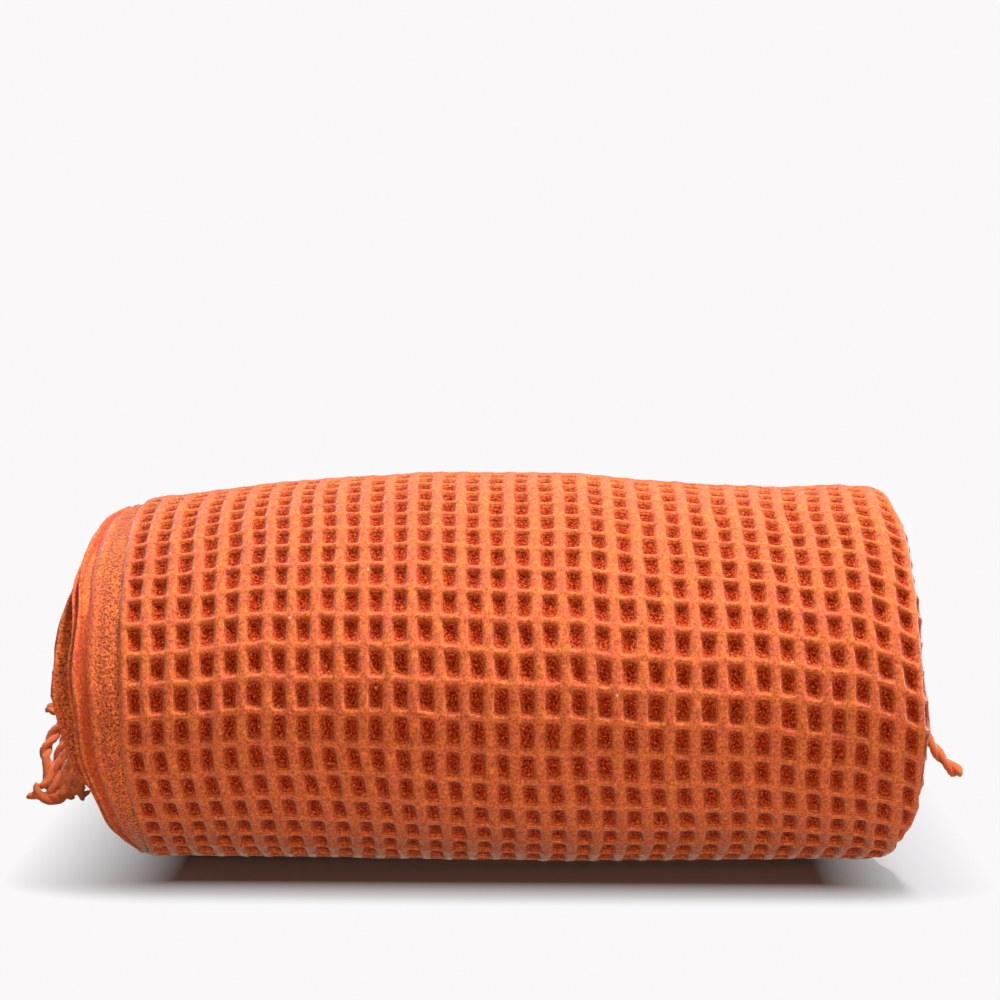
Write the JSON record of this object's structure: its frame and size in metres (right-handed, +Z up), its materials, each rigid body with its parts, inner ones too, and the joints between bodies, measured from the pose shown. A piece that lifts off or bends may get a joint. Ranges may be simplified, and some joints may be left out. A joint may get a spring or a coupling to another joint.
{
  "type": "rolled waffle weave cotton blanket",
  "caption": "Waffle weave cotton throw blanket, folded lengthwise and rolled up, with plain selvedge bands and a twisted tassel fringe at its outer end.",
  "frame": {"origin": "middle of the flat spot that the roll rests on, half way along the roll", "axes": "+X along the roll towards its folded end, +Y towards the lap and fringe at the back, +Z up"},
  "size_m": [0.4243, 0.1859, 0.1573],
  "materials": {
    "waffle_cotton": "soft matt waffle weave cotton, heathered burnt orange",
    "twisted_cotton": "matt twisted cotton cord, burnt orange"
  },
  "bodies": {
    "root": {"blanket_roll": "waffle_cotton", "edge_fringe": "twisted_cotton"}
  },
  "joints": []
}
